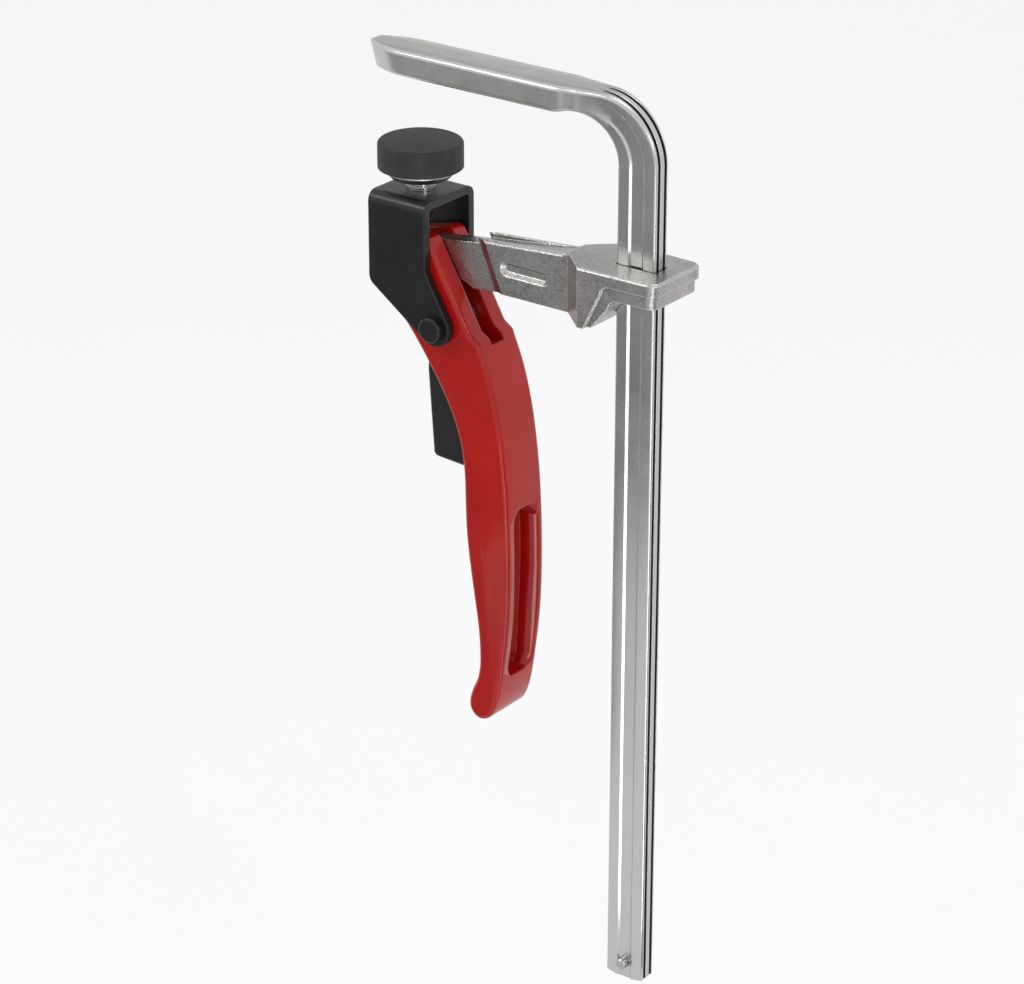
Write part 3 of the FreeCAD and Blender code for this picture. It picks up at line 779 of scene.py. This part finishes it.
    def section(self) -> bpy.types.Object:
        """The section's outline, whose points say what share of each size and groove they take."""
        wide = [(-self.groove_mouth / 2, 0), (-self.groove_floor / 2, 1), (self.groove_floor / 2, 1),
                (self.groove_mouth / 2, 0)]
        near, far = self.edge_groove_floor / 2, self.edge_groove_mouth / 2
        narrow = []
        for at in (-self.edge_groove_at, self.edge_groove_at):
            narrow += [(at - far, 0), (at - near, 1), (at + near, 1), (at + far, 0)]
        points = []
        for side in range(4):
            out = 1 if side < 2 else -1
            corner = ((1, -1), (1, 1), (-1, 1), (-1, -1))[side]
            flat = wide if side % 2 == 0 else narrow
            for at, deep in flat:
                if side % 2 == 0:
                    points.append(((0, -out, 0), (at * out, 0, 0), (0, deep * out, 0)))
                else:
                    sunk = (deep, 0, 0) if out > 0 else (0, 0, deep)
                    points.append(((out, 0, 0), (0, at * out, 0), sunk))
            steps = 6
            for i in range(steps + 1):
                a = math.radians(90 * (i / steps) + 90 * side - 90)
                back_x, back_y = math.cos(a) - corner[0], math.sin(a) - corner[1]
                inset = (self.corner * back_x, self.corner * back_y, 1)
                points.append(((*corner, 0), inset, (0, 0, 0)))
        mesh = bpy.data.meshes.new("bar_section")
        count = len(points)
        round_by = [2 * math.pi * i / count for i in range(count)]
        mesh.from_pydata([(MM * math.cos(a), MM * math.sin(a), 0) for a in round_by],
                         [(i, (i + 1) % count) for i in range(count)], [])
        carry(mesh, "share", [p[0] for p in points])
        carry(mesh, "inset", [p[1] for p in points])
        carry(mesh, "sunk", [p[2] for p in points])
        return linked("bar_section", mesh)

    def sweep_tree(self, section: bpy.types.Object, steel: bpy.types.Material) -> bpy.types.NodeTree:
        """Geometry tree that carries the section along the path and gives each ring its sizes.

        Args:
            section: The section's outline.
            steel: The bar's material.

        Returns:
            The tree, with named inputs for the grooves' depths, the end's bow and the nose's rake.
        """
        tree = bpy.data.node_groups.new("swept_bar", "GeometryNodeTree")
        face = tree.interface
        face.new_socket("Geometry", in_out="INPUT", socket_type="NodeSocketGeometry")
        face.new_socket("Geometry", in_out="OUTPUT", socket_type="NodeSocketGeometry")
        for name in ("Groove depth", "Edge groove depth", "End bow", "Half width", "Rake", "Arm height"):
            face.new_socket(name, in_out="INPUT", socket_type="NodeSocketFloat")
        g = Graph(tree)
        sizes = g.add("NodeGroupInput")

        def told(name: str) -> tuple[Signal, Signal, Signal]:
            """The parts of a vector that the points carry."""
            node = g.add("GeometryNodeInputNamedAttribute", {"data_type": "FLOAT_VECTOR"}, {"Name": name})
            return g.out(node, "Attribute").split()

        outline = g.add("GeometryNodeObjectInfo", None, {"Object": section})
        ring = g.add("GeometryNodeMeshToCurve", None, {"Mesh": g.out(outline, "Geometry")})
        path = g.add("GeometryNodeMeshToCurve", None, {"Mesh": g.out(sizes, "Geometry")})
        tube = g.add("GeometryNodeCurveToMesh", None,
                     {"Curve": g.out(path), "Profile Curve": g.out(ring), "Fill Caps": True})
        middle_x, middle_z, bow = told("place")
        across_x, across_z, rake = told("across")
        half_width, half_thickness, corner = told("size")
        groove, outer, inner = told("runout")
        share_x, share_y, _ = told("share")
        inset_x, inset_y, on_corner = told("inset")
        sunk_outer, sunk_wide, sunk_inner = told("sunk")
        gather, _, _ = told("flats")
        scale = gather + (corner - gather) * on_corner
        edge_depth = g.out(sizes, "Edge groove depth")
        u = (share_x * half_width + inset_x * scale - sunk_outer * outer * edge_depth
             + sunk_inner * inner * edge_depth)
        v = share_y * half_thickness + inset_y * scale + sunk_wide * groove * g.out(sizes, "Groove depth")
        lift = (u / g.out(sizes, "Half width")) ** 2.0 * g.out(sizes, "End bow") * bow
        z = middle_z + across_z * u + lift
        x = middle_x + across_x * u - z / g.out(sizes, "Arm height") * g.out(sizes, "Rake") * rake
        place = g.add("ShaderNodeCombineXYZ", None, {"X": x, "Y": v, "Z": z})
        swept = g.add("GeometryNodeSetPosition", None, {"Geometry": g.out(tube), "Position": g.out(place)})
        closed = g.add("GeometryNodeMergeByDistance", None,
                       {"Geometry": g.out(swept), "Distance": SAME_POINT})
        solid = g.add("GeometryNodeRealizeInstances", None, {"Geometry": g.out(closed)})
        coated = g.add("GeometryNodeSetMaterial", None, {"Geometry": g.out(solid), "Material": steel})
        end = g.add("NodeGroupOutput")
        tree.links.new(coated.outputs[0], end.inputs[0])
        return tree

    def sweep(self) -> bpy.types.Object:
        """Make the bar and its fixed arm as one sweep."""
        section = self.section()
        sizes = {
            "Groove depth": self.groove_depth,
            "Edge groove depth": self.edge_groove_depth,
            "End bow": self.end_bow,
            "Half width": self.width / 2,
            "Rake": self.rake,
            "Arm height": self.arm_height,
        }
        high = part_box("clamp_bar")[1]
        middle = (high.x - self.outer_radius, self.arm_height - self.outer_radius)
        steel = replace(self.steel, bend_middle=middle, bend_radius=self.outer_radius,
                        channel_at=self.edge_groove_at)
        piece = grown("forged_bar", self.sweep_tree(section, steel.material()), sizes, self.path())
        bpy.data.objects.remove(section)
        piece.data.shade_smooth()
        piece.data.set_sharp_from_angle(angle=math.radians(self.crease))
        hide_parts("clamp_bar")
        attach(piece, "bar")
        LOG.info("forged_bar swept")
        return piece

    def dress(self) -> None:
        """Make the bar and finish the pin."""
        self.sweep()
        low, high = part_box("stop_pin")
        middle = (low + high) / 2
        pin = TurnedSteel("stop_pin_steel", Axis.Y, (middle.x, middle.z), (0.42, 0.42, 0.41))
        dress("stop_pin", pin.material())


@dataclass
class SlidingArm:
    """Cast sliding arm."""

    casting: GrainyCasting = field(default_factory=GrainyCasting)

    def dress(self) -> None:
        """Finish the casting."""
        dress("sliding_arm", self.casting.material())


@dataclass
class Lever:
    """Red lever and its pivot pin."""

    lacquer: GlossLacquer = field(default_factory=GlossLacquer)
    crease: float = 30.0

    def dress(self) -> None:
        """Finish the lever, joined up and shaded round, and the pin."""
        smoothed("lever_handle", "lacquered_lever", "lever", self.lacquer.material(),
                 self.crease)
        low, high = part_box("lever_pivot_pin")
        middle = (low + high) / 2
        pin = TurnedSteel("pivot_pin_steel", Axis.Y, (middle.x, middle.z))
        dress("lever_pivot_pin", pin.material())


@dataclass
class Yoke:
    """Folded yoke, its rivet and the ball stud."""

    enamel: BlackEnamel = field(default_factory=BlackEnamel)

    def dress(self) -> None:
        """Finish the yoke, the rivet and the stud."""
        black = self.enamel.material()
        dress("pad_yoke", black)
        dress("yoke_rivet", black)
        dress("pad_stud", TurnedSteel("stud_steel", Axis.Z).material())


@dataclass
class Pad:
    """Swivelling pad and its soft cap."""

    rubber: CapRubber = field(default_factory=CapRubber)

    def dress(self) -> None:
        """Finish the pad and the cap."""
        dress("pressure_pad", TurnedSteel("pad_steel", Axis.Z, roughness=0.3).material())
        dress("pad_cap", self.rubber.material())


@dataclass
class Release:
    """Pawl, squeeze paddle, its pin and the return spring."""

    plastic: SparkedPlastic = field(default_factory=SparkedPlastic)
    wire: float = 0.35 * MM
    turns: float = 5.0

    def spring_tree(self, steel: bpy.types.Material) -> bpy.types.NodeTree:
        """Geometry tree of an open-ended compression spring along X.

        Args:
            steel: The wire's material.

        Returns:
            The tree, with named inputs for the spring's sizes.
        """
        tree = bpy.data.node_groups.new("return_spring", "GeometryNodeTree")
        face = tree.interface
        face.new_socket("Geometry", in_out="OUTPUT", socket_type="NodeSocketGeometry")
        for name in ("Start", "Length", "Height", "Coil radius", "Wire radius", "Turns"):
            face.new_socket(name, in_out="INPUT", socket_type="NodeSocketFloat")
        g = Graph(tree)
        sizes = g.add("NodeGroupInput")
        steps = 48 * int(self.turns)
        line = g.add("GeometryNodeMeshLine", {"mode": "OFFSET"}, {"Count": steps + 1})
        share = g.out(g.add("GeometryNodeInputIndex")) / float(steps)
        turn = share * g.out(sizes, "Turns") * (2 * math.pi)
        radius = g.out(sizes, "Coil radius")
        place = g.add("ShaderNodeCombineXYZ", None, {
            "X": share * g.out(sizes, "Length") + g.out(sizes, "Start"),
            "Y": turn.cosine() * radius,
            "Z": turn.sine() * radius + g.out(sizes, "Height"),
        })
        helix = g.add("GeometryNodeSetPosition", None,
                      {"Geometry": g.out(line), "Position": g.out(place)})
        path = g.add("GeometryNodeMeshToCurve", None, {"Mesh": g.out(helix)})
        section = g.add("GeometryNodeCurvePrimitiveCircle", None,
                        {"Resolution": 14, "Radius": g.out(sizes, "Wire radius")})
        tube = g.add("GeometryNodeCurveToMesh", None,
                     {"Curve": g.out(path), "Profile Curve": g.out(section), "Fill Caps": True})
        solid = g.add("GeometryNodeRealizeInstances", None, {"Geometry": g.out(tube)})
        smooth = g.add("GeometryNodeSetShadeSmooth", None, {"Geometry": g.out(solid)})
        coated = g.add("GeometryNodeSetMaterial", None, {"Geometry": g.out(smooth), "Material": steel})
        end = g.add("NodeGroupOutput")
        tree.links.new(coated.outputs[0], end.inputs[0])
        return tree

    def spring(self) -> bpy.types.Object:
        """Make the return spring where the solids have it."""
        low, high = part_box("release_spring")
        steel = TurnedSteel("spring_wire", Axis.X, (0.0, (low.z + high.z) / 2), (0.5, 0.5, 0.5)).material()
        sizes = {
            "Start": low.x + self.wire,
            "Length": high.x - low.x - 2 * self.wire,
            "Height": (low.z + high.z) / 2,
            "Coil radius": (high.z - low.z) / 2 - self.wire,
            "Wire radius": self.wire,
            "Turns": self.turns,
        }
        piece = grown("release_coil", self.spring_tree(steel), sizes)
        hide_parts("release_spring")
        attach(piece, "lever")
        # At full squeeze this draws the coil out of the paddle's seat, where a real one stays
        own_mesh(piece)
        LOG.info("release_coil wound")
        return piece

    def dress(self) -> None:
        """Finish the pawl, the paddle and its pin, and make the spring."""
        pawl = TurnedSteel("pawl_steel", Axis.Y, (0.0112, -0.06), (0.3, 0.3, 0.3))
        dress("ratchet_pawl", pawl.material())
        dress("release_paddle", self.plastic.material())
        low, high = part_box("paddle_pin")
        middle = (low + high) / 2
        dress("paddle_pin", TurnedSteel("roll_pin_steel", Axis.Y, (middle.x, middle.z)).material())
        self.spring()


@dataclass
class Studio:
    """Pale floor, soft lamps, cards that only reflections show, and the camera."""

    azimuth: float = 37.12
    elevation: float = 24.22
    roll: float = 0.065
    distance: float = 0.87175
    target: Colour = (0.02777, 0.0, -0.10233)
    lens: float = 124.31
    sensor: float = 36.0
    paper: float = 0.95
    bleach: float = 0.7
    foot: tuple[float, float] = (0.0655, 0.0)
    slide: float = 0.185

    def floor(self) -> None:
        """Lay a large pale floor, low enough to clear the lever's tip with the arm slid right down."""
        half = 4.0
        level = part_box("lever_handle")[0].z - self.slide
        mesh = bpy.data.meshes.new("floor")
        corners = [(x, y, level) for x, y in ((-half, -half), (half, -half), (half, half), (-half, half))]
        mesh.from_pydata(corners, [], [(0, 1, 2, 3)])
        floor = bpy.data.objects.new("floor", mesh)
        bpy.context.scene.collection.objects.link(floor)
        material = bpy.data.materials.new("floor_paper")
        material.use_nodes = True
        g = Graph(material.node_tree)
        grain = g.add("ShaderNodeTexNoise", None, {"Scale": 90.0, "Detail": 3.0})
        shade = g.out(grain, 0) * 0.02 + (self.paper - 0.02)
        colour = g.add("ShaderNodeCombineColor", None, {0: shade, 1: shade, 2: shade})
        shader = g.add("ShaderNodeBsdfPrincipled", None,
                       {"Base Color": g.out(colour), "Roughness": 0.9, "Specular IOR Level": 0.1})
        path = g.add("ShaderNodeLightPath")
        seen = (g.out(path, "Is Camera Ray") + g.out(path, "Is Glossy Ray")
                + g.out(path, "Is Transmission Ray")).clamped()
        white = g.add("ShaderNodeEmission", None, {"Color": (1.0, 1.0, 1.0, 1.0), "Strength": 1.0})
        both = g.add("ShaderNodeMixShader", None,
                     {0: seen * self.bleach, 1: g.out(shader), 2: g.out(white)})
        end = g.add("ShaderNodeOutputMaterial")
        g.tree.links.new(both.outputs[0], end.inputs["Surface"])
        mesh.materials.append(material)

    def reflected(self, name: str, corners: list[Colour], shade: float) -> None:
        """Add a flat card that only reflections see.

        Args:
            name: The card's name.
            corners: Its corners in order.
            shade: How bright it is, where 1 is white.
        """
        mesh = bpy.data.meshes.new(name)
        mesh.from_pydata(corners, [], [tuple(range(len(corners)))])
        card = bpy.data.objects.new(name, mesh)
        bpy.context.scene.collection.objects.link(card)
        material = bpy.data.materials.new(name)
        material.use_nodes = True
        g = Graph(material.node_tree)
        glow = g.add("ShaderNodeEmission", None, {"Color": (1.0, 1.0, 1.0, 1.0), "Strength": shade})
        end = g.add("ShaderNodeOutputMaterial")
        g.tree.links.new(glow.outputs[0], end.inputs["Surface"])
        mesh.materials.append(material)
        card.visible_camera = False
        card.visible_diffuse = False
        card.visible_shadow = False

    def floor_card(self, name: str, turns: tuple[float, float], reach: tuple[float, float],
                   shade: float) -> None:
        """Lay a card on the floor, a sector about the bar's foot.

        Args:
            name: The card's name.
            turns: Its two sides, in degrees from +X towards +Y.
            reach: Its distances from the foot.
            shade: How bright it is, where 1 is white.
        """
        level = CAD_LOW.z + 0.8 * MM
        places = ((turns[0], reach[0]), (turns[0], reach[1]), (turns[1], reach[1]), (turns[1], reach[0]))
        foot_x, foot_y = self.foot
        corners = [(foot_x + r * math.cos(math.radians(a)), foot_y + r * math.sin(math.radians(a)), level)
                   for a, r in places]
        self.reflected(name, corners, shade)

    def hung_card(self, name: str, centre: Colour, size: tuple[float, float], shade: float) -> None:
        """Hang a card that faces the clamp."""
        facing = (Vector(self.target) - Vector(centre)).to_track_quat("Z", "Y").to_matrix()
        w, h = size[0] / 2, size[1] / 2
        corners = [tuple(Vector(centre) + facing @ Vector((x, y, 0)))
                   for x, y in ((-w, -h), (w, -h), (w, h), (-w, h))]
        self.reflected(name, corners, shade)

    def lamp(self, name: str, place: Colour, size: float, watts: float) -> None:
        """Hang a soft square lamp that faces the clamp."""
        light = bpy.data.lights.new(name, "AREA")
        light.shape = "SQUARE"
        light.size = size
        light.energy = watts
        lamp = bpy.data.objects.new(name, light)
        bpy.context.scene.collection.objects.link(lamp)
        facing = (Vector(place) - Vector(self.target)).to_track_quat("Z", "Y")
        lamp.matrix_world = Matrix.Translation(Vector(place)) @ facing.to_matrix().to_4x4()

    def sky(self) -> None:
        """Even soft light all round, behind a white background."""
        world = bpy.data.worlds.new("sky")
        bpy.context.scene.world = world
        world.use_nodes = True
        g = Graph(world.node_tree)
        path = g.add("ShaderNodeLightPath")
        seen = (g.out(path, "Is Camera Ray") + g.out(path, "Is Glossy Ray")
                + g.out(path, "Is Transmission Ray")).clamped()
        even = g.add("ShaderNodeBackground", None, {"Color": (0.98, 0.99, 1.0, 1.0), "Strength": 0.62})
        white = g.add("ShaderNodeBackground", None, {"Color": (1.0, 1.0, 1.0, 1.0), "Strength": 1.0})
        both = g.add("ShaderNodeMixShader", None, {0: seen, 1: g.out(even), 2: g.out(white)})
        end = g.add("ShaderNodeOutputWorld")
        g.tree.links.new(both.outputs[0], end.inputs["Surface"])

    def camera(self) -> None:
        """Place the camera at the photograph's angle."""
        data = bpy.data.cameras.new("camera")
        data.lens = self.lens
        data.sensor_width = self.sensor
        data.clip_start = 0.01
        data.clip_end = 20.0
        camera = bpy.data.objects.new("camera", data)
        bpy.context.scene.collection.objects.link(camera)
        a = math.radians(self.azimuth)
        e = math.radians(self.elevation)
        back = Vector((math.sin(a) * math.cos(e), -math.cos(a) * math.cos(e), math.sin(e)))
        turn = back.to_track_quat("Z", "Y").to_matrix().to_4x4()
        tilt = Matrix.Rotation(math.radians(self.roll), 4, "Z")
        place = Vector(self.target) + back * self.distance
        camera.matrix_world = Matrix.Translation(place) @ turn @ tilt
        bpy.context.scene.camera = camera

    def build(self) -> None:
        """Set up the floor, the light, the cards and the camera."""
        bpy.context.scene.view_settings.view_transform = "Standard"
        self.floor()
        self.sky()
        self.lamp("key", (-0.9, -1.2, 1.1), 0.35, 7.5)
        self.lamp("fill", (1.3, -0.5, 0.5), 0.3, 4.0)
        self.lamp("top", (0.1, 0.4, 1.3), 0.5, 4.5)
        self.floor_card("bright_strip", (-56, -42), (0.03, 0.62), 6.0)
        self.floor_card("dark_strip", (-36, -8), (0.012, 0.62), 0.0)
        self.floor_card("grey_near", (-152, -131), (0.12, 0.95), 0.32)
        self.floor_card("grey_far", (-131, -105), (0.28, 0.95), 0.32)
        self.hung_card("grey_back", (-0.64, 0.87, 0.49), (0.55, 0.4), 0.55)
        self.camera()


def main() -> None:
    """Build every sub-assembly and the studio."""
    logging.basicConfig(level=logging.INFO, format="%(message)s")
    for unit in (Bar(), SlidingArm(), Lever(), Yoke(), Pad(), Release()):
        unit.dress()
    Studio().build()


if __name__ == "__main__":
    main()
